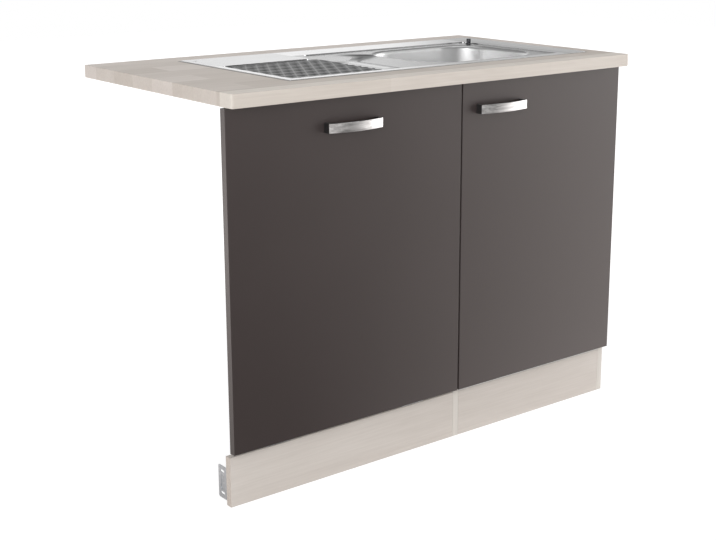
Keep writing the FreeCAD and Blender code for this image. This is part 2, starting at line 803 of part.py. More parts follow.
# ---------------------------------------------------------------- carcass boards
left_panel = block(seam, inner_left, carcass_front, back, 0.0, carcass_height)
right_panel = block(inner_right, right, carcass_front, back, 0.0, carcass_height)
keep("side_panel_left",
     bored(left_panel, board_fittings + worktop_angle_screws + cabinet_angle_screws + panel_screws))
keep("side_panel_right",
     bored(right_panel, board_fittings + worktop_angle_screws + cabinet_angle_screws + plate_screws))
keep("bottom_panel", bored(block(inner_left, inner_right, carcass_front, back,
                                 plinth_height, floor_level), board_fittings))
keep("front_rail", bored(block(inner_left, inner_right, carcass_front, carcass_front + board,
                               rail_front_low, carcass_height), board_fittings))
keep("rear_rail_upper", bored(block(inner_left, inner_right, back - board, back,
                                    rail_rear_low, carcass_height), board_fittings))
keep("rear_rail_lower", bored(block(inner_left, inner_right, back - board, back,
                                    floor_level, floor_level + rail_height_rear), board_fittings))


# ---------------------------------------------------------------- handles and fronts
def handle_profile(centre_x):
    """The handle seen from above: two feet and a bowed strap between them."""
    half = handle_length / 2.0
    foot = half - handle_foot
    end = front_face - handle_end_projection
    mid = front_face - handle_mid_projection
    inner_end = end + handle_strap
    inner_mid = mid + handle_strap
    outer = Part.Arc(V(centre_x - half, end, 0), V(centre_x, mid, 0),
                     V(centre_x + half, end, 0)).toShape()
    inner = Part.Arc(V(centre_x + foot, inner_end - handle_foot_step, 0), V(centre_x, inner_mid, 0),
                     V(centre_x - foot, inner_end - handle_foot_step, 0)).toShape()
    lines = ((V(centre_x - half, front_face, 0), V(centre_x - half, end, 0)),
             (V(centre_x + half, end, 0), V(centre_x + half, front_face, 0)),
             (V(centre_x + half, front_face, 0), V(centre_x + foot, front_face, 0)),
             (V(centre_x + foot, front_face, 0), V(centre_x + foot, inner_end - handle_foot_step, 0)),
             (V(centre_x - foot, inner_end - handle_foot_step, 0), V(centre_x - foot, front_face, 0)),
             (V(centre_x - foot, front_face, 0), V(centre_x - half, front_face, 0)))
    edges = [outer, inner] + [Part.makeLine(a, b) for a, b in lines]
    return Part.Wire(Part.__sortEdges__(edges))


def handle_and_screws(centre_x):
    """A bowed strap handle and the two screws that hold it from the board's back."""
    low = front_top - handle_drop - handle_height / 2.0
    wire = handle_profile(centre_x)
    solid = Part.Face(wire).extrude(V(0, 0, handle_height))
    solid.translate(V(0, 0, low))
    outer_edges = [e for e in solid.Edges if e.BoundBox.YMin < front_face - handle_end_projection
                   + 0.01 and e.BoundBox.YMax < front_face - 1.0
                   and e.BoundBox.YMin < front_face - handle_mid_projection + 0.5]
    solid = solid.makeFillet(handle_edge_round, outer_edges)
    spots = [centre_x + side * (handle_length - handle_foot) / 2.0 for side in (-1, 1)]
    grip = front_thickness - handle_screw_recess + handle_screw_grip
    middle = low + handle_height / 2.0
    screws = [screw(V(x, front_back_face - handle_screw_recess, middle), V(0, -1, 0), length=grip,
                    radius=handle_screw_radius, head_height=handle_screw_head_height)
              for x in spots]
    wells = [rod(V(x, front_back_face, middle), V(0, -1, 0), handle_screw_well,
                 handle_screw_recess) for x in spots]
    return bored(solid, screws), screws, wells


def front_board(x0, x1):
    """A front panel with its edges slightly rounded."""
    slab = block(x0, x1, front_face, front_back_face, front_bottom, front_top)
    face_edges = [e for e in slab.Edges if e.BoundBox.YLength < 0.01
                  and abs(e.BoundBox.YMin - front_face) < 0.01]
    return slab.makeFillet(front_edge_round, face_edges)


front_left = left + front_side_reveal
front_right = seam - front_middle_gap / 2.0
front_handle, front_screws, front_wells = handle_and_screws((front_left + front_right) / 2.0)
keep("front_handle", front_handle)
keep("front_handle_screws", front_screws)
keep("appliance_front", bored(front_board(front_left, front_right),
                              front_screws + front_wells + moving_leaf_screws))

door_handle_x = door_left + door_handle_inset + handle_length / 2.0
door_handle, door_screws, door_wells = handle_and_screws(door_handle_x)
keep("door_handle", door_handle)
keep("door_handle_screws", door_screws)
keep("cabinet_door", bored(front_board(door_left, door_right),
                           door_screws + door_wells + cup_pockets + cup_screws))
bumper_levels = (front_bottom + bumper_end_distance, front_top - bumper_end_distance)
keep("door_bumpers", [rod(V(door_left + bumper_inset, front_back_face, z), V(0, 1, 0), bumper_radius,
                          bumper_thickness) for z in bumper_levels])

# ---------------------------------------------------------------- sink
# Pressed stainless sheet: a flat rim on the worktop, a pocket one step lower with the drainer
# field on the left, a ledge at the back and right, and one bowl.

def pocket_face(level):
    """The pocket's outline: a rectangle whose back left part is narrower."""
    corners = [V(pocket_left, pocket_front, level), V(pocket_right, pocket_front, level),
               V(pocket_right, pocket_back, level),
               V(ledge_notch_x + ledge_notch_run, pocket_back, level),
               V(ledge_notch_x, notch_y, level), V(pocket_left, notch_y, level)]
    ring = corners + [corners[0]]
    solid = Part.Face(Part.makePolygon(ring)).extrude(V(0, 0, 1))
    uprights = [e for e in solid.Edges if e.BoundBox.ZLength > 0.5]
    solid = solid.makeFillet(pocket_corner_radius, uprights)
    lowest = [f for f in solid.Faces if f.BoundBox.ZMax < level + 0.01]
    return lowest[0]


def bowl_solid(grow, top):
    """The bowl's air when grow is 0, and its outside when grow is the sheet's thickness."""
    lip = bowl_mouth_round - grow
    wall = bowl_mouth_round
    floor = bowl_floor - grow
    inset = wall - grow
    low_inset = inset + bowl_draft
    upper = rounded_wire(bowl_mouth_left + inset, bowl_mouth_right - inset,
                         bowl_mouth_front + inset, bowl_mouth_back - inset,
                         bowl_corner_radius - inset, top)
    lower = rounded_wire(bowl_mouth_left + low_inset, bowl_mouth_right - low_inset,
                         bowl_mouth_front + low_inset, bowl_mouth_back - low_inset,
                         bowl_corner_radius - low_inset, floor)
    solid = Part.makeLoft([upper, lower], True, True)
    rim_edges = [e for e in solid.Edges
                 if e.BoundBox.ZMax < floor + 0.01]
    return solid.makeFillet(bowl_floor_round + grow, rim_edges), lip


def pocket_with_bowl(grow, low, high):
    """Pocket and bowl in one solid, with the bowl's mouth rounded."""
    face = pocket_face(low)
    if grow:
        face = face.makeOffset2D(grow)
    tray = face.extrude(V(0, 0, high - low))
    bowl, lip = bowl_solid(grow, low)
    whole = tray.fuse(bowl)
    mouth_box = (bowl_mouth_left, bowl_mouth_right)
    mouth = [e for e in whole.Edges if abs(e.BoundBox.ZMin - low) < 0.01
             and abs(e.BoundBox.ZMax - low) < 0.01
             and e.BoundBox.XMin > mouth_box[0] and e.BoundBox.XMax < mouth_box[1]]
    return whole.makeFillet(lip, mouth)


rim = rounded_slab(sink_left, sink_right, sink_front, sink_back, worktop_top, rim_top,
                   sink_corner_radius)
top_edges = [e for e in rim.Edges if e.BoundBox.ZMin > rim_top - 0.01]
rim = rim.makeFillet(rim_edge_round, top_edges)
air = pocket_with_bowl(0.0, deck_top, rim_top + 5.0)
outside = pocket_with_bowl(sink_sheet, deck_under, worktop_top + 0.2)
sink = rim.fuse(outside).cut(air)

seal_outer = rounded_slab(sink_left + seal_inset, sink_right - seal_inset, sink_front + seal_inset,
                          sink_back - seal_inset, worktop_top, worktop_top + seal_thickness,
                          sink_corner_radius - seal_inset)
seal_edge = seal_inset + seal_width
seal_inner = rounded_slab(sink_left + seal_edge, sink_right - seal_edge, sink_front + seal_edge,
                          sink_back - seal_edge, worktop_top, worktop_top + seal_thickness,
                          sink_corner_radius - seal_edge)
seal = seal_outer.cut(seal_inner)
keep("sink_seal", seal)
sink = sink.cut(seal)


def low_dome(x, y, radius, height, base):
    """A spherical cap that stands on the deck."""
    ball = (radius * radius + height * height) / (2.0 * height)
    sphere = Part.makeSphere(ball, V(x, y, base + height - ball))
    return sphere.common(block(x - radius - 1, x + radius + 1, y - radius - 1, y + radius + 1,
                               base - sink_sheet / 2.0, base + height + 1))


bumps = []
bump_x0 = pocket_left + bump_edge_left
bump_y0 = pocket_front + bump_edge_front
ridge_x = bowl_mouth_left - ridge_from_bowl
ridge_back_y = pocket_back - ridge_from_back
bump_last_x = ridge_x - ridge_half_width - bump_edge_ridge
bump_columns = 1 + int((bump_last_x - bump_x0) / bump_pitch_x)
bump_rows = 1 + int((notch_y - bump_edge_back - bump_y0) / bump_pitch_y)
for row in range(bump_rows):
    shift = (row % 2) * bump_pitch_x / 2.0
    count = bump_columns - row % 2
    for column in range(count):
        bumps.append(low_dome(bump_x0 + shift + column * bump_pitch_x, bump_y0 + row * bump_pitch_y,
                              bump_radius, bump_height, deck_top))

ridge_ball = (ridge_half_width ** 2 + ridge_height ** 2) / (2.0 * ridge_height)
ridge_front_y = pocket_front + ridge_half_width
ridge_centre_z = deck_top + ridge_height - ridge_ball
ridge_long = rod(V(ridge_x, ridge_front_y, ridge_centre_z), V(0, 1, 0), ridge_ball,
                 ridge_back_y - ridge_front_y)
ridge_bar = ridge_long.common(block(ridge_x - ridge_half_width - 1, ridge_x + ridge_half_width + 1,
                                    ridge_front_y, ridge_back_y,
                                    deck_top - sink_sheet / 2.0, rim_top))
ridge_ends = [low_dome(ridge_x, y, ridge_half_width, ridge_height, deck_top)
              for y in (ridge_front_y, ridge_back_y)]
sink = sink.fuse(bumps + [ridge_bar] + ridge_ends)

drain_hole = rod(V(drain_x, drain_y, bowl_under - 1.0), V(0, 0, 1),
                 strainer_cup_radius + strainer_cup_wall + 1.0, sink_sheet + 2.0)
knob_hole = rod(V(knob_x, knob_y, deck_under - 1.0), V(0, 0, 1), knob_sleeve_radius,
                sink_sheet + 2.0)
overflow_hole = rod(V(overflow_x, overflow_wall_y - 12.0, overflow_z), V(0, 1, 0),
                    overflow_hole_radius, 24.0)
dimple_ball = (dimple_radius ** 2 + dimple_depth ** 2) / (2.0 * dimple_depth)
dimple = Part.makeSphere(dimple_ball, V(sink_left + dimple_from_left, sink_back - dimple_from_back,
                                        rim_top - dimple_depth + dimple_ball))
sink = sink.cut(Part.makeCompound([drain_hole, knob_hole, overflow_hole])).cut(dimple)
keep("sink", sink.removeSplitter())

# ---------------------------------------------------------------- sink clips
# Folded steel clips hang from the rim's underside and grip the worktop's underside by a screw.
clips = []
clip_screws = []
foot_top = carcass_height - clip_drop
foot_low = foot_top - clip_thickness
clip_places = (sink_left + clip_from_end, ledge_notch_x - clip_width,
               seam + clip_from_panel, sink_right - clip_from_end - clip_from_panel / 2.0)
clip_spots = [(x, cut_out_front, -1.0) for x in clip_places]
clip_spots += [(x, cut_out_back, 1.0) for x in clip_places]
for x, edge_y, outward in clip_spots:
    near = edge_y - outward * clip_gap
    far = near - outward * clip_thickness
    tip = edge_y + outward * clip_foot
    leg = block(x - clip_width / 2.0, x + clip_width / 2.0, min(near, far), max(near, far),
                foot_low, worktop_top)
    foot = block(x - clip_width / 2.0, x + clip_width / 2.0, min(far, tip), max(far, tip),
                 foot_low, foot_top)
    stud_y = edge_y + outward * clip_foot * 0.6
    stud_low = foot_low - clip_thread
    stud = rod(V(x, stud_y, stud_low), V(0, 0, 1), clip_screw_radius, carcass_height - stud_low)
    stud_head = rod(V(x, stud_y, stud_low - clip_head_height), V(0, 0, 1), clip_head_radius,
                    clip_head_height)
    clip_screws.append(joined([stud, stud_head]))
    clips.append(joined([leg, foot]).cut(stud))
keep("sink_clips", clips)
keep("sink_clip_screws", clip_screws)

# ---------------------------------------------------------------- waste and plug
up = V(0, 0, 1)


def at(z):
    """The point on the waste's axis at a level."""
    return V(drain_x, drain_y, z)


cup_floor = bowl_floor - strainer_cup_depth
flange_ring = rod(at(bowl_floor), up, strainer_flange_radius, strainer_flange_thickness)
cup_outside = rod(at(cup_floor - strainer_cup_wall), up, strainer_cup_radius + strainer_cup_wall,
                  strainer_cup_depth + strainer_cup_wall)
cup_inside = rod(at(cup_floor), up, strainer_cup_radius,
                 strainer_cup_depth + strainer_flange_thickness)
strainer_holes = [rod(at(cup_floor - 2.0) + V(strainer_slot_circle * math.cos(math.radians(a)),
                                             strainer_slot_circle * math.sin(math.radians(a)), 0),
                      up, strainer_slot_radius, 4.0)
                  for a in [360.0 * n / strainer_slots for n in range(strainer_slots)]]
sleeve_top = cup_floor + 2.0
sleeve_head = rod(at(cup_floor), up, sleeve_radius + 4.0, sleeve_top - cup_floor)
body_top = bowl_under - waste_gasket_thickness
body_floor = body_top - waste_body_depth
sleeve_low = body_floor + waste_body_wall + 4.0
sleeve_shank = rod(at(sleeve_low), up, sleeve_radius, cup_floor - sleeve_low)
sleeve_hole = rod(at(sleeve_low), up, sleeve_bore, sleeve_top - sleeve_low)
sleeve = joined([sleeve_head, sleeve_shank]).cut(sleeve_hole)
strainer = joined([flange_ring, cup_outside]).cut(cup_inside)
strainer = bored(strainer, strainer_holes + [sleeve_shank])
keep("strainer_cup", strainer)
keep("waste_sleeve_screw", sleeve)
keep("waste_gasket", pipe(at(body_top), up, strainer_flange_radius,
                          strainer_cup_radius + strainer_cup_wall + 1.0, waste_gasket_thickness))

body_shell = rod(at(body_floor), up, waste_body_radius, waste_body_depth)
body_flange = rod(at(body_top - waste_flange_height), up, strainer_flange_radius,
                  waste_flange_height)
body_air = rod(at(body_floor + waste_body_wall), up, waste_body_radius - waste_body_wall,
               waste_body_depth - waste_body_wall)
spigot_low = body_floor - waste_spigot_length
outlet_spigot = rod(at(spigot_low), up, pipe_radius + 2.0, waste_spigot_length)
outlet_bore = rod(at(spigot_low), up, pipe_radius - pipe_wall,
                  waste_spigot_length + waste_body_wall)
boss = rod(at(body_floor + waste_body_wall - 1.0), up, sleeve_radius + 3.0, 12.0)
boss_bore = rod(at(sleeve_low), up, sleeve_radius, 20.0)
boss_vent = rod(at(body_floor), up, sleeve_bore + 1.0, 20.0)
spokes = [block(drain_x - waste_body_radius + 1.0, drain_x + waste_body_radius - 1.0,
                drain_y - 1.5, drain_y + 1.5, body_floor + waste_body_wall - 1.0,
                body_floor + waste_body_wall + 5.0)]
overflow_nozzle = rod(overflow_port, overflow_way, overflow_pipe_radius + 2.0,
                      overflow_nozzle_length)
overflow_nozzle_bore = rod(overflow_port - overflow_way * 3.0, overflow_way,
                           overflow_pipe_radius - overflow_pipe_wall, overflow_nozzle_length + 4.0)
cable_nozzle = rod(cable_port, cable_way, cable_nozzle_radius, cable_nozzle_length)
waste_body = joined([body_shell.cut(body_air), body_flange.cut(body_air), outlet_spigot, boss,
                     overflow_nozzle, cable_nozzle] + spokes)
waste_body = bored(waste_body, [outlet_bore.cut(boss).cut(spokes[0]), boss_bore, boss_vent,
                                overflow_nozzle_bore])
keep("waste_body", waste_body)

plug_low = cup_floor + 13.0
plug_disc = rod(at(plug_low), up, plug_radius, plug_thickness)
plug_edge = [e for e in plug_disc.Edges if e.BoundBox.ZMin > plug_low + plug_thickness - 0.01]
plug_disc = plug_disc.makeFillet(plug_thickness * 0.4, plug_edge)
plug_grip = rod(at(plug_low + plug_thickness), up, plug_grip_radius, plug_grip_height)
grip_edge = [e for e in plug_grip.Edges
             if e.BoundBox.ZMin > plug_low + plug_thickness + plug_grip_height - 0.01]
plug_grip = plug_grip.makeFillet(2.0, grip_edge)
plug_foot = rod(at(sleeve_top + 0.3), up, plug_grip_radius + 2.0, plug_low - sleeve_top - 0.3)
plug_stem = rod(at(sleeve_low + 4.0), up, plug_stem_radius, sleeve_top + 0.3 - sleeve_low - 4.0)
keep("drain_plug", joined([plug_disc, plug_grip, plug_foot, plug_stem]))

# ---------------------------------------------------------------- overflow
rosette_y = overflow_wall_y + 1.0
rosette = rod(V(overflow_x, rosette_y, overflow_z), V(0, 1, 0), rosette_radius, rosette_thickness)
rosette_neck = rod(V(overflow_x, overflow_wall_y - 8.0, overflow_z), V(0, 1, 0),
                   overflow_hole_radius - 1.0, rosette_y - overflow_wall_y + 8.0)
rosette_holes = [rod(V(overflow_x + 6.5 * math.cos(math.radians(a)), overflow_wall_y - 9.0,
                       overflow_z + 6.5 * math.sin(math.radians(a))), V(0, 1, 0), 2.0, 16.0)
                 for a in range(0, 360, 60)]
keep("overflow_rosette", bored(joined([rosette, rosette_neck]), rosette_holes))
keep("overflow_gasket", pipe(V(overflow_x, gasket_back - overflow_gasket_thickness, overflow_z),
                             V(0, 1, 0), elbow_radius, overflow_hole_radius,
                             overflow_gasket_thickness))
elbow_block = rod(V(overflow_x, elbow_face - elbow_depth, overflow_z), V(0, 1, 0), elbow_radius,
                  elbow_depth)
elbow_air = rod(V(overflow_x, elbow_face - elbow_depth + 2.0, overflow_z), V(0, 1, 0),
                overflow_hole_radius, elbow_depth)
nozzle_low = overflow_z - elbow_radius - elbow_nozzle_length
elbow_nozzle = rod(V(overflow_x, overflow_drop_y, nozzle_low), up, overflow_pipe_radius + 2.0,
                   overflow_z - nozzle_low)
elbow_nozzle_air = rod(V(overflow_x, overflow_drop_y, nozzle_low), up,
                       overflow_pipe_radius - overflow_pipe_wall, overflow_z - nozzle_low)
socket_top = nozzle_low + elbow_nozzle_length * 0.7
elbow_socket = rod(V(overflow_x, overflow_drop_y, nozzle_low), up, overflow_pipe_radius,
                   socket_top - nozzle_low)
elbow = joined([elbow_block, elbow_nozzle])
keep("overflow_elbow", bored(elbow, [elbow_air, elbow_nozzle_air, elbow_socket]))
pipe_corner = V(overflow_x, overflow_drop_y, cable_level)
keep("overflow_pipe", bent_tube([V(overflow_x, overflow_drop_y, socket_top), pipe_corner,
                                 overflow_port_end],
                                overflow_pipe_radius, overflow_pipe_bend,
                                overflow_pipe_radius - overflow_pipe_wall))

# ---------------------------------------------------------------- trap and drain
nut_low = spigot_low - 4.0
dip = pipe(at(dip_end), up, dip_pipe_radius, dip_pipe_radius - pipe_wall, spigot_low - dip_end)
collar = pipe(at(nut_low), up, pipe_radius + socket_wall, dip_pipe_radius - pipe_wall,
              spigot_low - nut_low)
keep("tailpiece", joined([dip, collar]))
nut_body = rod(at(nut_low - 4.0), up, union_nut_radius, union_nut_height)
nut_flats = [rod(at(nut_low - 5.0) + V((union_nut_radius + 1.0) * math.cos(math.radians(a)),
                                       (union_nut_radius + 1.0) * math.sin(math.radians(a)), 0),
                 up, 2.6, union_nut_height + 2.0) for a in range(0, 360, 30)]
nut_air = [rod(at(nut_low), up, pipe_radius + 2.0, union_nut_height),
           rod(at(nut_low - 5.0), up, dip_pipe_radius, 6.0)]
keep("union_nut", bored(nut_body, nut_flats + nut_air))

trap_shell = rod(at(trap_bottom), up, trap_radius, trap_top - trap_bottom)
trap_air = rod(at(trap_bottom), up, trap_radius - trap_wall, trap_top - trap_bottom - trap_wall)
trap_neck = rod(at(trap_top - trap_wall), up, dip_pipe_radius + 6.0, 14.0)
trap_entry = rod(at(trap_top - trap_wall - 1.0), up, dip_pipe_radius, 20.0)
outlet_way = V(0, 1, 0)
outlet_start = V(drain_x, drain_y + trap_radius - 6.0, trap_outlet_z)
outlet_collar = rod(outlet_start, outlet_way, pipe_radius + 2.5, outlet_collar_length)
outlet_air = rod(outlet_start - outlet_way * 2.0, outlet_way, pipe_radius - pipe_wall,
                 outlet_collar_length + 4.0)
spigot_way = V(-1, 0, 0)
spigot_start = V(drain_x - trap_radius + 5.0, drain_y, trap_outlet_z)
spigot = rod(spigot_start, spigot_way, spigot_radius, spigot_length)
spigot_air = rod(spigot_start - spigot_way * 3.0, spigot_way, spigot_radius - spigot_wall,
                 spigot_length + 4.0)
trap = joined([trap_shell, trap_neck, outlet_collar, spigot])
outlet_seat = V(drain_x, outlet_start.y + outlet_collar_length * 0.5, trap_outlet_z)
seat_radius = pipe_radius - outlet_seat_relief
outlet_socket = rod(outlet_seat, outlet_way, seat_radius, outlet_collar_length)
keep("trap_body", bored(trap, [trap_air, trap_entry, outlet_air, spigot_air, outlet_socket]))
cup_low = trap_bottom - trap_cup_depth
trap_cup = rod(at(cup_low), up, trap_radius - 2.0, trap_cup_depth)
trap_cup_edge = [e for e in trap_cup.Edges if e.BoundBox.ZMax < cup_low + 0.01]
trap_cup = trap_cup.makeFillet(8.0, trap_cup_edge)
trap_cup_air = rod(at(cup_low + trap_wall), up, trap_radius - trap_wall - 3.0, trap_cup_depth)
grip_ring = pipe(at(trap_bottom - 12.0), up, trap_radius + 3.0, trap_radius - 4.0, 12.0)
grip_cuts = [rod(at(trap_bottom - 13.0) + V((trap_radius + 4.5) * math.cos(math.radians(a)),
                                            (trap_radius + 4.5) * math.sin(math.radians(a)), 0),
                 up, 3.0, 14.0) for a in range(0, 360, 20)]
keep("trap_cup", bored(joined([trap_cup, grip_ring]), grip_cuts + [trap_cup_air]))

outlet_end = back - outlet_back_gap
collar_end = outlet_start.y + outlet_collar_length
nut_end = collar_end + outlet_nut_past_collar
nut_start = V(drain_x, nut_end - outlet_nut_length, trap_outlet_z)
shoulder = V(drain_x, nut_end + outlet_shoulder_gap, trap_outlet_z)
seated_end = pipe(outlet_seat, outlet_way, seat_radius, pipe_radius - pipe_wall,
                  shoulder.y - outlet_seat.y)
free_end = pipe(shoulder, outlet_way, pipe_radius, pipe_radius - pipe_wall,
                outlet_end - shoulder.y)
keep("outlet_pipe", joined([seated_end, free_end]))
outlet_nut = rod(nut_start, outlet_way, pipe_radius + 7.0, outlet_nut_length)
outlet_nut_air = [rod(nut_start, outlet_way, pipe_radius + 2.5, collar_end - nut_start.y),
                  rod(nut_start, outlet_way, seat_radius, outlet_nut_length)]
outlet_nut_cuts = [rod(nut_start - outlet_way
                       + V((pipe_radius + 8.2) * math.cos(math.radians(a)), 0,
                           (pipe_radius + 8.2) * math.sin(math.radians(a))),
                       outlet_way, 2.6, outlet_nut_length + 2.0) for a in range(0, 360, 30)]
keep("outlet_nut", bored(outlet_nut, outlet_nut_air + outlet_nut_cuts))
cap_start = spigot_start + spigot_way * (spigot_length - spigot_cap_length + 2.0)
cap_solid = rod(cap_start, spigot_way, spigot_cap_radius, spigot_cap_length)
cap_air = rod(cap_start, spigot_way, spigot_radius, spigot_cap_length - 2.0)
keep("spigot_cap", cap_solid.cut(cap_air))

# ---------------------------------------------------------------- waste knob and its cable

def on_knob(z):
    """The point on the knob's axis at a level."""
    return V(knob_x, knob_y, z)


sleeve_end = deck_top - knob_sleeve_length
collar_top = deck_top + knob_collar_height
housing = joined([rod(on_knob(deck_top), up, knob_collar_radius, knob_collar_height),
                  rod(on_knob(sleeve_end), up, knob_sleeve_radius, knob_sleeve_length),
                  rod(on_knob(deck_under - knob_nut_height), up, knob_nut_radius, knob_nut_height)])
shaft_low = sleeve_end + 8.0
shaft_hole = rod(on_knob(shaft_low - 0.5), up, knob_shaft_radius + running_clearance,
                 collar_top - shaft_low + 1.0)
keep("knob_housing", housing.cut(shaft_hole))
knob_low = collar_top + knob_lift
knob_head = rod(on_knob(knob_low), up, knob_radius, knob_height)
knob_rim = [e for e in knob_head.Edges if e.BoundBox.ZMin > knob_low + knob_height - 0.01]
knob_head = knob_head.makeFillet(1.0, knob_rim)
grip_low = knob_low + knob_height * 0.35
flats = [block(knob_x - knob_radius, knob_x + knob_radius, knob_y + min(side * knob_flat,
               side * knob_radius * 1.2), knob_y + max(side * knob_flat, side * knob_radius * 1.2),
               grip_low, grip_low + knob_height) for side in (-1, 1)]
knob_shaft = rod(on_knob(shaft_low), up, knob_shaft_radius, knob_low - shaft_low)
keep("waste_knob", joined([knob_head.cut(Part.makeCompound(flats)), knob_shaft]))

cable_end = cable_port + cable_way * cable_nozzle_length
cable_points = [on_knob(sleeve_end), on_knob(sleeve_end - cable_straight),
                on_knob(cable_level + cable_turn_up) - cable_way * cable_turn_out,
                on_knob(cable_level) - cable_way * cable_level_out, cable_end]
print("cable points", [tuple(round(v, 1) for v in point) for point in cable_points])
keep("remote_cable", bent_tube(cable_points, cable_radius, cable_bend))

# ---------------------------------------------------------------- write the nodes
os.makedirs("parts", exist_ok=True)
for name, shape in made.items():
    shape.exportStep("parts/" + name + ".step")
print(len(made), "nodes")
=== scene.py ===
"""Kitchen sink unit: a 50 cm sink cabinet, an open appliance bay, one worktop and an inset sink.

Metres. X runs to the right, Y to the back, Z up; the origin is on the floor under the worktop.
The sections follow the unit as it is put together: room, carcass, plinth, metal fittings,
worktop, sink, waste and trap, waste knob, fronts and handles.
"""

import math

import bpy
import numpy as np
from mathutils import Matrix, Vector


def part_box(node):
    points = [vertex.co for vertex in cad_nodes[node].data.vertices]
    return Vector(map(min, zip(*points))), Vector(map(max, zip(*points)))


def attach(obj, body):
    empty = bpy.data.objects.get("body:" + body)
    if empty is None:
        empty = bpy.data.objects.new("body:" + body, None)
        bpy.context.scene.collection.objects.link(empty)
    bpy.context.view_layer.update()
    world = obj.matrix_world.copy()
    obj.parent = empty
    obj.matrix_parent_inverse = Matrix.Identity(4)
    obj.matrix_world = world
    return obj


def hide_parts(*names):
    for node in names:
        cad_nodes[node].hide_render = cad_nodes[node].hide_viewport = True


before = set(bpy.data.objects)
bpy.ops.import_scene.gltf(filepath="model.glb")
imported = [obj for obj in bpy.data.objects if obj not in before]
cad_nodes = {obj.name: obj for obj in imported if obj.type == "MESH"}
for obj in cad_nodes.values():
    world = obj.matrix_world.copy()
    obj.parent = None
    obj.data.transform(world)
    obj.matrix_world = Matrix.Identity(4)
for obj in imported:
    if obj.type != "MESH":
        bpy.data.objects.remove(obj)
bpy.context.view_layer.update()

# ------------------------------------------------------------------------------ the room
# A photographer's white cove. The camera stands at the unit's left front corner, a little above
# the worktop. The cove's bright right side gives the long sheen on the two fronts, and three
# soft lamps light the unit evenly.
room = bpy.context.scene
room.view_settings.view_transform = "Standard"

degrees_down, degrees_right = 14.11, 38.58
camera_data = bpy.data.cameras.new("camera")
camera_data.sensor_width = 36.0
camera_data.lens = 66.54
camera_data.shift_x = -0.0341
camera_data.shift_y = -0.045
camera = bpy.data.objects.new("camera", camera_data)
camera.location = (-1.8522, -2.3802, 1.1876)
camera.rotation_euler = (math.radians(90.0 - degrees_down), 0.0, math.radians(-degrees_right))
room.collection.objects.link(camera)
room.camera = camera


class Wire:
    """The output of a shader node. Sums on it, such as 1 - wire * 2, add Math nodes."""

    def __init__(self, socket):
        self.socket = socket

    def math(self, operation, first, second=0.0, clamp=False):
        node = self.socket.id_data.nodes.new("ShaderNodeMath")
        node.operation = operation
        node.use_clamp = clamp
        for slot, value in zip(node.inputs, (first, second)):
            connect(slot, value)
        return Wire(node.outputs[0])

    def __add__(self, other):
        return self.math("ADD", self, other)

    def __radd__(self, other):
        return self.math("ADD", other, self)

    def __sub__(self, other):
        return self.math("SUBTRACT", self, other)

    def __rsub__(self, other):
        return self.math("SUBTRACT", other, self)

    def __mul__(self, other):
        return self.math("MULTIPLY", self, other)

    def __rmul__(self, other):
        return self.math("MULTIPLY", other, self)

    def size(self):
        return self.math("ABSOLUTE", self)

    def fraction(self):
        return self.math("FRACT", self)

    def sine(self):
        return self.math("SINE", self)

    def or_more(self, other):
        return self.math("MAXIMUM", self, other)

    def at_most(self, other):
        return self.math("MINIMUM", self, other)

    def share(self, start, end):
        """0 below start, 1 above end, and straight between them."""
        return self.math("MULTIPLY", self - start, 1.0 / (end - start), clamp=True)

    def past(self, place, soft):
        """0 before a place, 1 after it, with a soft edge."""
        return self.share(place - soft, place + soft)

    def within(self, low, high, soft):
        """1 between low and high, 0 outside, with soft ends."""
        return self.past(low, soft) * (1.0 - self.past(high, soft))


def connect(slot, value):
    """Link a wire to a socket, or set the socket's own value."""
    if isinstance(value, Wire):
        value.socket.id_data.links.new(value.socket, slot)
    else:
        slot.default_value = value


class Finish:
    """A node tree, filled by one method."""

    def __init__(self, tree):
        self.tree = tree
        tree.nodes.clear()

    def add(self, kind, settings=None, inputs=None, out=0):
        """Add a node: its settings first, then its sockets' values or wires. Gives the output
        that out names, or a list of them where out is a tuple."""
        node = self.tree.nodes.new(kind)
        for name, value in (settings or {}).items():
            setattr(node, name, value)
        for name, value in (inputs or {}).items():
            connect(node.inputs[name], value)
        if isinstance(out, tuple):
            return [Wire(node.outputs[one]) for one in out]
        return Wire(node.outputs[out]) if node.outputs else None

    def mixed(self, factor, first, second):
        """Two colours mixed by a factor: sockets 6, 7 and output 2 are the colours'."""
        return self.add("ShaderNodeMix", {"data_type": "RGBA"},
                        {0: factor, 6: first, 7: second}, out=2)

    def parts(self, vector):
        """A vector's three parts, one by one."""
        return self.add("ShaderNodeSeparateXYZ", None, {0: vector}, out=(0, 1, 2))

    def axes(self):
        """Object coordinates, one by one."""
        return self.parts(self.add("ShaderNodeTexCoord", out="Object"))

    def place(self, stretch=(1.0, 1.0, 1.0)):
        """Object coordinates, each times its own factor."""
        where = self.add("ShaderNodeTexCoord", out="Object")
        return self.add("ShaderNodeMapping", None, {"Vector": where, "Scale": stretch})


sky = bpy.data.worlds.new("white_cove")
sky.use_nodes = True
room.world = sky
cove = Finish(sky.node_tree)
to_right, to_back, upward = cove.parts(cove.add("ShaderNodeTexCoord"))


def bearing_of(right, ahead):
    """Degrees to the right of straight ahead."""
    return right.math("ARCTAN2", right, ahead) * math.degrees(1.0)


def lit_front(bearing):
    """How bright the cove's front side is at a bearing: bright on the right, then a dark gap,
    a middle of even light and a dimmer left."""
    right_side = bearing.share(35.0, 60.0) * 2.42
    middle = (1.0 - bearing.share(17.0, 27.0)) * 0.80
    missing_left = (1.0 - bearing.share(-20.0, 0.0)) * 0.56
    return right_side + middle - missing_left + 0.13


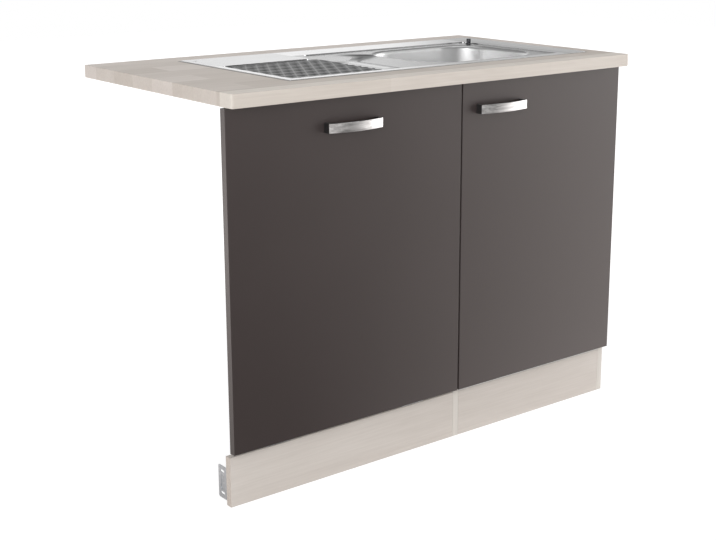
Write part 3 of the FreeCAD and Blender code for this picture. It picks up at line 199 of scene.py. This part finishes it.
# What metal and gloss mirror: pale walls that are brightest near the floor, the darker place
# behind the camera, the front side, one window, and a grey flag to the right of the unit.
bearing = bearing_of(to_right, 0.0 - to_back)
walls = (1.0 - upward.share(0.14, 0.42)) * 0.74 + 0.30
behind_camera = (to_right * -0.62 + to_back * -0.78).share(0.62, 0.97) * 0.74
front_side = 1.0 - to_back.share(-0.35, 0.25)
window = bearing.within(61.0, 85.0, 5.0) * (1.0 - upward.share(0.24, 0.36)) * 3.0
flag = bearing.within(96.0, 139.5, 1.5) * (1.0 - upward.share(0.25, 0.40)) * 0.44
far_left = (1.0 - to_right.share(-0.8, -0.1)) * 0.35
studio = walls * (1.0 - behind_camera) * (1.0 - flag)
studio = studio * (1.0 - front_side * (1.0 - lit_front(bearing) * 0.96)) + window
studio = studio * (1.0 - far_left)
even_light = front_side * 0.20 + 0.52
camera_ray, mirror_ray, glass_ray = cove.add(
    "ShaderNodeLightPath", out=("Is Camera Ray", "Is Glossy Ray", "Is Transmission Ray"))
white = camera_ray.or_more(glass_ray)
strength = white + (1.0 - white) * (mirror_ray * studio + (1.0 - mirror_ray) * even_light)
glow = cove.add("ShaderNodeBackground", None,
                {"Color": (1.0, 1.0, 1.0, 1.0), "Strength": strength})
cove.add("ShaderNodeOutputWorld", None, {"Surface": glow})


def soft_lamp(name, place, target, width, height, power):
    """A rectangular soft lamp that points at a target."""
    data = bpy.data.lights.new(name, "AREA")
    data.shape = "RECTANGLE"
    data.size = width
    data.size_y = height
    data.energy = power
    lamp = bpy.data.objects.new(name, data)
    lamp.location = place
    lamp.rotation_euler = (Vector(target) - Vector(place)).to_track_quat("-Z", "Y").to_euler()
    room.collection.objects.link(lamp)
    return lamp


key = soft_lamp("key_right_front", (3.4, -1.7, 0.95), (0.2, 0.0, 0.45), 1.9, 1.7, 40.0)
key.visible_glossy = False
soft_lamp("fill_left_front", (-2.9, -2.2, 1.5), (0.0, 0.0, 0.5), 2.0, 2.0, 44.0)
soft_lamp("top", (0.3, 0.2, 3.2), (0.0, 0.0, 0.8), 2.4, 1.6, 8.0)

floor_reach = 9.0
floor_drop = 0.0005
steps = np.linspace(-floor_reach, floor_reach, 21)
flat_x, flat_y = np.meshgrid(steps, steps, indexing="ij")


def surface_mesh(name, points):
    """A smooth mesh object from a grid of points (u, v, 3); each cell of the grid is a face."""
    count_u, count_v = points.shape[:2]
    index = np.arange(count_u * count_v).reshape(count_u, count_v)
    quads = np.stack([index[:-1, :-1], index[1:, :-1], index[1:, 1:], index[:-1, 1:]], axis=-1)
    data = bpy.data.meshes.new(name)
    data.from_pydata(points.reshape(-1, 3).tolist(), [], quads.reshape(-1, 4).tolist())
    data.update()
    data.polygons.foreach_set("use_smooth", np.full(len(data.polygons), True))
    made = bpy.data.objects.new(name, data)
    room.collection.objects.link(made)
    return made


floor = surface_mesh("studio_floor",
                     np.stack([flat_x, flat_y, np.full_like(flat_x, -floor_drop)], axis=-1))
floor_white = bpy.data.materials.new("floor_white")
floor_white.use_nodes = True
paper = Finish(floor_white.node_tree)
ground_x, ground_y = paper.axes()[:2]
camera_ray, mirror_ray = paper.add("ShaderNodeLightPath", out=("Is Camera Ray", "Is Glossy Ray"))

# To the camera the paper glows white, and more so far off, so that the unit's shadow stays.
matt = paper.add("ShaderNodeBsdfDiffuse", None, {"Color": (0.86, 0.86, 0.86, 1.0)})
bare = paper.add("ShaderNodeEmission", None, {"Color": (1.0, 1.0, 1.0, 1.0), "Strength": 1.22})
far_off = (ground_x * ground_x + ground_y * ground_y).share(0.7, 2.4)
seen_floor = paper.add("ShaderNodeMixShader", None,
                       {0: camera_ray * (far_off * 0.28 + 0.72), 1: matt, 2: bare})

# In a mirror it is a warm card with the cove's own bright and dark sides, and brighter close to
# the plinth. Its bearings start at the camera's mirror image behind the fronts.
fronts_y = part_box("cabinet_door")[0][1]
image_x, image_y = camera.location.x, 2.0 * fronts_y - camera.location.y
card_light = (lit_front(bearing_of(ground_x - image_x, image_y - ground_y))
              + ground_y.share(-0.5, 0.1) * 0.75)
card = paper.add("ShaderNodeEmission", None,
                 {"Color": (1.0, 0.94, 0.91, 1.0), "Strength": card_light})
whole_floor = paper.add("ShaderNodeMixShader", None, {0: mirror_ray, 1: seen_floor, 2: card})
paper.add("ShaderNodeOutputMaterial", None, {"Surface": whole_floor})
floor.data.materials.append(floor_white)

# ------------------------------------------------------------------------------ carcass
# White melamine chipboard, 16 mm: two side panels that stand on the floor, a bottom panel and
# three rails between them. A fine pearl texture is pressed into the melamine, and the side
# panels' front edges carry an acacia strip.
panel_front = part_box("side_panel_left")[0][1]
edging = 0.0005


def coat(piece, finish):
    """Give a piece one material."""
    piece.data.materials.clear()
    piece.data.materials.append(finish)


def plain_finish(name, build, **sockets):
    """A material with one Principled shader; build gives what varies over the surface."""
    made = bpy.data.materials.new(name)
    made.use_nodes = True
    finish = Finish(made.node_tree)
    constant = {socket.replace("_", " "): value for socket, value in sockets.items()}
    shader = finish.add("ShaderNodeBsdfPrincipled", None, {**constant, **build(finish)})
    finish.add("ShaderNodeOutputMaterial", None, {"Surface": shader})
    return made


def noise(finish, scale, detail=2.0, stretch=(1.0, 1.0, 1.0), **more):
    """Cloudy noise, drawn out along the axes whose factor is small."""
    return finish.add("ShaderNodeTexNoise", None, {"Vector": finish.place(stretch),
                                                   "Scale": scale, "Detail": detail, **more})


def relief(finish, height, strength, distance):
    """The surface's normal, as a height pressed into it turns it."""
    return finish.add("ShaderNodeBump", None,
                      {"Height": height, "Strength": strength, "Distance": distance})


def pearl(finish):
    """White melamine: soft clouds of tone and a fine pearl texture."""
    fine = noise(finish, 900.0)
    cloud = noise(finish, 6.0, 3.0)
    return {"Base Color": finish.mixed(cloud, (0.74, 0.725, 0.70, 1.0), (0.80, 0.79, 0.77, 1.0)),
            "Roughness": cloud * 0.12 + 0.42,
            "Normal": relief(finish, fine, 0.06, 0.0003)}


def edged_panel(finish):
    """White melamine whose front edge has an acacia strip with upright grain."""
    into = finish.axes()[1]
    strip = 1.0 - into.past(panel_front + edging, 0.0001)
    grain = noise(finish, 3.0, 6.0, (75.0, 75.0, 2.2))
    decor = finish.mixed(grain, (0.77, 0.725, 0.67, 1.0), (0.62, 0.575, 0.53, 1.0))
    skin = pearl(finish)
    skin["Base Color"] = finish.mixed(strip, skin["Base Color"], decor)
    return skin


white_melamine = plain_finish("white_melamine", pearl, Specular_IOR_Level=0.4)
for name in ("bottom_panel", "front_rail", "rear_rail_upper", "rear_rail_lower"):
    coat(cad_nodes[name], white_melamine)
edged_melamine = plain_finish("edged_melamine", edged_panel, Specular_IOR_Level=0.4)
for name in ("side_panel_left", "side_panel_right"):
    coat(cad_nodes[name], edged_melamine)

# ------------------------------------------------------------------------------ plinth
# Two 16 mm boards with a pale acacia laminate, one under the appliance bay and one between the
# cabinet's side panels. The grain runs along the boards. The sawn left end shows the chipboard.
stave_length, stave_width = 0.46, 0.082
plinth_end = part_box("plinth_appliance_bay")[0][0]


def staves(finish, first, second, joint):
    """Boards glued side by side, each with its own mix of two colours."""
    return finish.add("ShaderNodeTexBrick",
                      {"offset": 0.37, "offset_frequency": 2, "squash_frequency": 1},
                      {"Vector": finish.place(), "Color1": first, "Color2": second,
                       "Mortar": joint, "Scale": 1.0, "Mortar Size": 0.0,
                       "Brick Width": stave_length, "Row Height": stave_width})


def acacia(finish, light, dark, contrast, paler):
    """Laminate with grain along X: streaks, slow flames, and staves that differ in tone by the
    contrast. It is paler where the last wire says so."""
    streaks = noise(finish, 3.0, 6.0, (2.2, 75.0, 75.0), Roughness=0.62)
    flames = noise(finish, 2.0, 4.0, (1.3, 7.0, 7.0), Distortion=0.9)
    pores = noise(finish, 2.0, 3.0, (12.0, 420.0, 420.0))
    stave = staves(finish, (0.0, 0.0, 0.0, 1.0), (1.0, 1.0, 1.0, 1.0), (0.5, 0.5, 0.5, 1.0))
    tone = streaks * 0.9 + flames * 0.75 + stave * contrast - paler
    warmer = [part * (1.0 - loss * contrast) for part, loss in zip(light, (0.05, 0.03, 0.07))]
    tint = staves(finish, light, (*warmer, 1.0), light)
    return {"Base Color": finish.mixed(tone.share(0.45, 1.30 + contrast), tint, dark),
            "Roughness": streaks * 0.14 + 0.40,
            "Normal": relief(finish, pores, 0.10, 0.0003)}


def cells(finish, scale, stretch=(1.0, 1.0, 1.0)):
    """One grey value for each chip or crystal of a Voronoi pattern."""
    colour = finish.add("ShaderNodeTexVoronoi", None,
                        {"Vector": finish.place(stretch), "Scale": scale}, out="Color")
    return finish.add("ShaderNodeRGBToBW", None, {"Color": colour})


def sawn_plinth(finish):
    """Acacia laminate, and bare chipboard on the sawn left end."""
    skin = acacia(finish, (0.695, 0.642, 0.595, 1.0), (0.565, 0.510, 0.465, 1.0), 0.0, 0.0)
    sawn = 1.0 - finish.axes()[0].past(plinth_end + 0.0004, 0.0002)
    chips = cells(finish, 700.0, (1.0, 1.0, 0.5))
    board = finish.mixed(chips, (0.71, 0.635, 0.58, 1.0), (0.55, 0.48, 0.42, 1.0))
    skin["Base Color"] = finish.mixed(sawn, skin["Base Color"], board)
    skin["Roughness"] = skin["Roughness"] + sawn * 0.3
    return skin


plinth_laminate = plain_finish("acacia_plinth", sawn_plinth)
for name in ("plinth_appliance_bay", "plinth_cabinet"):
    coat(cad_nodes[name], plinth_laminate)

# ------------------------------------------------------------------------------ metal fittings
# Zinc plated angles, brackets and hinge parts, and turned steel screws. Beech dowels and white
# bumpers belong to the carcass and the door too.


def zinc_spangle(finish):
    """Zinc plate with faint crystals and smears."""
    crystals = cells(finish, 160.0)
    smear = noise(finish, 40.0, 3.0)
    return {"Base Color": finish.mixed(crystals, (0.62, 0.65, 0.68, 1.0),
                                       (0.78, 0.80, 0.825, 1.0)),
            "Roughness": smear * 0.25 + 0.38}


def turned_steel(finish):
    """Bright steel with the fine marks of turning."""
    marks = noise(finish, 700.0)
    return {"Base Color": finish.mixed(marks, (0.52, 0.52, 0.53, 1.0), (0.68, 0.68, 0.69, 1.0)),
            "Roughness": marks * 0.2 + 0.25}


def beech(finish):
    """Beech with its fibres along X."""
    fibre = noise(finish, 2.0, 4.0, (20.0, 400.0, 400.0))
    return {"Base Color": finish.mixed(fibre, (0.62, 0.44, 0.27, 1.0), (0.44, 0.29, 0.16, 1.0)),
            "Roughness": fibre * 0.2 + 0.55}


def moulded(light, dark):
    """Moulded plastic or rubber: a faint flow pattern and a fine matt texture."""

    def build(finish):
        flow = noise(finish, 25.0, 4.0, Distortion=0.5)
        grain = noise(finish, 1500.0)
        return {"Base Color": finish.mixed(flow, light, dark), "Roughness": flow * 0.16 + 0.34,
                "Normal": relief(finish, grain, 0.08, 0.0002)}

    return build


zinc = plain_finish("zinc_plate", zinc_spangle, Metallic=1.0)
screw_steel = plain_finish("screw_steel", turned_steel, Metallic=1.0)
beech_wood = plain_finish("beech", beech)
white_plastic = plain_finish("white_plastic",
                             moulded((0.80, 0.80, 0.79, 1.0), (0.74, 0.74, 0.73, 1.0)))
for name in ("plinth_bracket_left", "plinth_bracket_right", "cabinet_plinth_angles",
             "worktop_angles", "hinge_mounting_plates", "hinge_arms", "hinge_cups", "hinge_links",
             "front_hinge_lower_leaves", "front_hinge_upper_leaves", "sink_clips", "cam_locks"):
    coat(cad_nodes[name], zinc)
for name in ("plinth_bracket_screws", "cabinet_plinth_screws", "cam_bolts",
             "worktop_angle_screws", "hinge_plate_screws", "hinge_cup_screws",
             "front_hinge_pins", "front_hinge_lower_screws", "front_hinge_upper_screws",
             "sink_clip_screws", "door_handle_screws", "front_handle_screws"):
    coat(cad_nodes[name], screw_steel)
coat(cad_nodes["dowels"], beech_wood)
coat(cad_nodes["door_bumpers"], white_plastic)

# ------------------------------------------------------------------------------ worktop
# A 28 mm board with the same acacia laminate, here in long staves of slightly different tone,
# with a paler stave along its front. Its front edge carries painted light, paler than the top,
# and a painted shadow lies as a dark line round the sink's rim.
worktop_front, worktop_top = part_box("worktop")[0][1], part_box("worktop")[1][2]
sink_low, sink_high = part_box("sink")
stave_contrast = 0.75
rim_shadow_width = 0.0028
rim_shadow_soft = 0.0006


def rim_shadowed_worktop(finish):
    """Acacia laminate: painted light on the front edge, a painted shadow round the sink's rim."""
    across, into, upright = finish.axes()
    front_stave = into.within(worktop_front + 0.001, worktop_front + 0.042, 0.001)
    # Painted light: the front edge face is made paler than the top, as the lamps in front light
    # it.
    lit_front_edge = 1.0 - into.share(worktop_front + 0.0002, worktop_front + 0.001)
    skin = acacia(finish, (0.79, 0.722, 0.675, 1.0), (0.49, 0.422, 0.372, 1.0), stave_contrast,
                  (front_stave * 1.15 + lit_front_edge * 0.45) * stave_contrast)
    # Painted shadow: a dark line on the worktop round the sink's rim, where the rim shades it.
    rim_shadow = (across.within(sink_low[0] - rim_shadow_width, sink_high[0] + rim_shadow_width, rim_shadow_soft)
            * into.within(sink_low[1] - rim_shadow_width, sink_high[1] + rim_shadow_width, rim_shadow_soft)
            * upright.share(worktop_top - 0.0004, worktop_top - 0.0002))
    skin["Base Color"] = finish.mixed(rim_shadow * 0.85, skin["Base Color"], (0.16, 0.155, 0.15, 1.0))
    return skin


worktop_laminate = plain_finish("acacia_worktop", rim_shadowed_worktop)
coat(cad_nodes["worktop"], worktop_laminate)

# ------------------------------------------------------------------------------ sink
# Pressed stainless steel sheet. The ledges are polished, and the drainer field is matt between
# its bumps. Painted shade darkens the pocket and the field, with painted highlights on the seams
# between the bumps. A flank kept pale as a painted highlight and an S-shaped groove of painted
# shade part the field from the channel to the bowl.
pocket_left, pocket_right = sink_low[0] + 0.018, sink_high[0] - 0.078
pocket_front, pocket_back = sink_low[1] + 0.020, sink_high[1] - 0.080
notch_x, notch_y = sink_low[0] + 0.250, sink_high[1] - 0.150
field_back = notch_y - 0.004
ridge_x = sink_low[0] + 0.293
flank_x = ridge_x - 0.022
bump_column, bump_row = 0.028, 0.024
first_bump_x, first_bump_y = pocket_left + 0.012, pocket_front + 0.014
deck_z = sink_high[2] - 0.0022
flank_end = -0.028
swing_start, swing_end, swing_back = -0.040, 0.060, 0.120
swing_reach, swing_return = 0.085, 0.030


def brush(finish, stretch):
    """Fine lines left by the belt, as noise drawn out along them."""
    return noise(finish, 2.0, 4.0, stretch, Roughness=0.6)


def seam_highlights(x, y):
    """1 on the painted highlights along the seams that cross between the bumps, 0 on the bumps,
    which keep the painted shade. The seams lie where column + row or column - row is a whole
    number and a half; 64 keeps the sums positive."""
    column = (x - first_bump_x) * (1.0 / bump_column)
    row = (y - first_bump_y) * (0.5 / bump_row)
    falling, rising = [((diagonal + 64.0).fraction() - 0.5).size()
                       for diagonal in (column + row, column - row)]
    return ((1.0 - rising.share(0.04, 0.14)) * 0.58).or_more(1.0 - falling.share(0.10, 0.23))


def flank_highlight(x, y):
    """1 on the scalloped slope at the drainer field's right end, which is left pale as a painted
    highlight: its edge is a row of arcs, a sine without its sign."""
    arcs = ((y - pocket_front) * (math.pi / bump_row)).sine().size() * 0.009
    return ((x + arcs).past(flank_x, 0.0005) * (1.0 - x.past(ridge_x - 0.004, 0.002))
            * y.within(pocket_front + 0.012, flank_end, 0.004))


def beside_curve(x, y):
    """The distance in X from the S-shaped groove of painted shade, which swings to the right
    towards the back by 3 s^2 - 2 s^3 and then turns a little to the left."""
    swing = y.share(swing_start, swing_end)
    swing = swing * swing * (3.0 - 2.0 * swing)
    curve = (swing * swing_reach - y.share(swing_end, swing_back) * swing_return
             + (ridge_x + 0.016))
    return (x - curve).size()


def pressed_stainless(finish):
    """Brushed sheet: pale ledges, and darker zones of painted shade and reflection for the
    pocket, the drainer field between its bumps, and the S-shaped groove with its shaded slope.
    The right ledge is darker in long streaks."""
    x, y, z = finish.axes()
    on_deck = z.past(deck_z - 0.003, 0.001)
    on_right = x.past(pocket_right, 0.001)
    along = brush(finish, (6.0, 420.0, 420.0))
    crosswise = brush(finish, (420.0, 6.0, 420.0))
    lines = along + (crosswise - along) * on_right

    beyond_notch = y.share(notch_y, notch_y + 0.001)
    pocket = (x.within(pocket_left, pocket_right, 0.0005)
              * y.within(pocket_front, pocket_back, 0.0005)
              * (1.0 - beyond_notch * (1.0 - (x - notch_x).share(0.0, 0.004))))
    field = x.within(pocket_left, flank_x, 0.0008) * y.within(pocket_front, field_back, 0.002)
    side_ledge = beyond_notch * (1.0 - x.past(notch_x, 0.002))
    beside = beside_curve(x, y)
    # Painted shade: a dark line along the S-shaped groove and a wider dark slope beside it.
    groove = (1.0 - beside.share(0.002, 0.008)) * y.within(pocket_front + 0.004, 0.118, 0.006)
    shade = (1.0 - beside.share(0.008, 0.042)) * y.within(0.000, 0.085, 0.025)
    level = 1.0 - flank_highlight(x, y)
    ledge_streaks = noise(finish, 2.0, 3.0, (24.0, 1.2, 24.0))

    # Painted shade and reflection darken the pocket, the field between its bumps, the groove and
    # its slope; the seams and the flank are left pale as painted highlights.
    dark = (field * level * (0.76 - seam_highlights(x, y) * 0.72) + pocket * level * 0.34
            + groove * 0.60 + shade * 0.90) * on_deck
    # The right ledge is darker in long streaks, and the ledge behind the notch a little darker.
    dark = (dark.at_most(0.97) + on_right * on_deck * (ledge_streaks * 0.80 - 0.22)
            + side_ledge * on_deck * 0.14)
    worn = lines * (on_deck * 0.85 + 0.15)
    pale = finish.mixed(worn, (0.95, 0.95, 0.95, 1.0), (0.74, 0.74, 0.74, 1.0))
    rough = (lines * 0.10 + 0.14 + dark * 0.20 + field * on_deck * 0.12
             + (1.0 - on_deck) * 0.18)
    height = (lines * 0.000012 - shade * 0.007) * on_deck
    return {"Base Color": finish.mixed(dark, pale, (0.085, 0.085, 0.087, 1.0)),
            "Roughness": rough,
            "Normal": relief(finish, height, 1.0, 1.0)}


def brushed(finish):
    """Brushed steel with its lines along X."""
    lines = brush(finish, (3.0, 300.0, 160.0))
    return {"Base Color": finish.mixed(lines.share(0.35, 0.65), (0.46, 0.46, 0.46, 1.0),
                                       (0.78, 0.78, 0.78, 1.0)),
            "Roughness": lines * 0.12 + 0.24}


sink_steel = plain_finish("sink_steel", pressed_stainless, Metallic=1.0)
stainless = plain_finish("brushed_stainless", brushed, Metallic=1.0)
dark_foam = plain_finish("dark_foam", moulded((0.16, 0.16, 0.17, 1.0), (0.11, 0.11, 0.12, 1.0)),
                         Specular_IOR_Level=0.15)
coat(cad_nodes["sink"], sink_steel)
coat(cad_nodes["sink_seal"], dark_foam)
for name in ("strainer_cup", "overflow_rosette", "drain_plug"):
    coat(cad_nodes[name], stainless)
coat(cad_nodes["waste_sleeve_screw"], screw_steel)

# ------------------------------------------------------------------------------ waste and trap
# A white polypropylene waste body, bottle trap and pipes, sealed with rubber gaskets. The black
# plastic housing under the deck carries the waste knob.
grey_rubber = plain_finish("grey_rubber",
                           moulded((0.055, 0.055, 0.058, 1.0), (0.075, 0.075, 0.078, 1.0)),
                           Specular_IOR_Level=0.25)
black_plastic = plain_finish("black_plastic",
                             moulded((0.022, 0.022, 0.024, 1.0), (0.034, 0.034, 0.036, 1.0)))
for name in ("waste_body", "overflow_elbow", "overflow_pipe", "tailpiece", "union_nut",
             "trap_body", "trap_cup", "outlet_pipe", "outlet_nut", "spigot_cap"):
    coat(cad_nodes[name], white_plastic)
for name in ("waste_gasket", "overflow_gasket"):
    coat(cad_nodes[name], grey_rubber)
coat(cad_nodes["knob_housing"], black_plastic)

# ------------------------------------------------------------------------------ waste knob
# A small dark chrome knob on the sink's deck. Its stiff cable bends down behind the bowl and
# runs level to the waste body.
cable_route = ((0.4150, 0.1130, 0.8134), (0.4150, 0.1130, 0.7504), (0.3910, 0.0950, 0.6950),
               (0.3471, 0.0619, 0.6680), (0.2817, 0.0127, 0.6680))
cable_diameter = 0.005
cable_line = bpy.data.curves.new("remote_cable_line", "CURVE")
cable_line.dimensions = "3D"
cable_line.bevel_depth = 1.0  # times each point's radius
cable_line.bevel_resolution = 5
cable_line.resolution_u = 24
cable_line.use_fill_caps = True
cable_spline = cable_line.splines.new("NURBS")
cable_spline.points.add(len(cable_route) - 1)
for point, place in zip(cable_spline.points, cable_route):
    point.co = (*place, 1.0)
    point.radius = cable_diameter / 2.0
cable_spline.order_u = 3
cable_spline.use_endpoint_u = True
cable = bpy.data.objects.new("remote_cable_sleeve", cable_line)
room.collection.objects.link(cable)
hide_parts("remote_cable")
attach(cable, "unit")
coat(cable, black_plastic)


def dark_chrome(finish):
    """Dark chrome with a faint haze."""
    haze = noise(finish, 260.0)
    return {"Base Color": finish.mixed(haze, (0.07, 0.07, 0.075, 1.0), (0.13, 0.13, 0.14, 1.0)),
            "Roughness": haze * 0.10 + 0.14}


knob_chrome = plain_finish("knob_chrome", dark_chrome, Metallic=1.0)
coat(cad_nodes["waste_knob"], knob_chrome)

# ------------------------------------------------------------------------------ fronts
# Two 16 mm boards faced in warm anthracite, satin, with eased edges. The left one tips down in
# front of the appliance bay, and the right one is the cabinet's hinged door.


def anthracite_skin(finish):
    """Satin anthracite: slow clouds of tone and a fine grain."""
    grain = noise(finish, 1100.0)
    cloud = noise(finish, 5.0, 3.0)
    return {"Base Color": finish.mixed(cloud, (0.039, 0.028, 0.0265, 1.0),
                                       (0.045, 0.032, 0.0305, 1.0)),
            "Roughness": cloud * 0.06 + 0.34,
            "Normal": relief(finish, grain, 0.05, 0.0002)}


anthracite = plain_finish("anthracite_satin", anthracite_skin, Specular_IOR_Level=0.85)
for name in ("appliance_front", "cabinet_door"):
    coat(cad_nodes[name], anthracite)

# ------------------------------------------------------------------------------ handles
# Bowed steel strap handles, brushed along their length and screwed on from behind. Painted
# shade darkens every face that turns away from the front, such as the feet behind the strap.


def strap_steel(finish):
    """Brushed steel where the surface faces forwards, and painted shade where it turns away."""
    lines = brush(finish, (3.0, 150.0, 90.0))
    turned_to_back = finish.parts(finish.add("ShaderNodeTexCoord", out="Normal"))[1]
    # Painted shade: the steel is dark where its surface turns away from the front.
    unshaded_front = (0.0 - turned_to_back).share(0.50, 0.85)
    strap = finish.mixed(lines.share(0.35, 0.65), (0.52, 0.52, 0.52, 1.0),
                         (0.95, 0.95, 0.95, 1.0))
    return {"Base Color": finish.mixed(unshaded_front, (0.18, 0.18, 0.185, 1.0), strap),
            "Roughness": lines * 0.12 + 0.24}


handle_steel = plain_finish("handle_steel", strap_steel, Metallic=1.0)
for name in ("front_handle", "door_handle"):
    coat(cad_nodes[name], handle_steel)
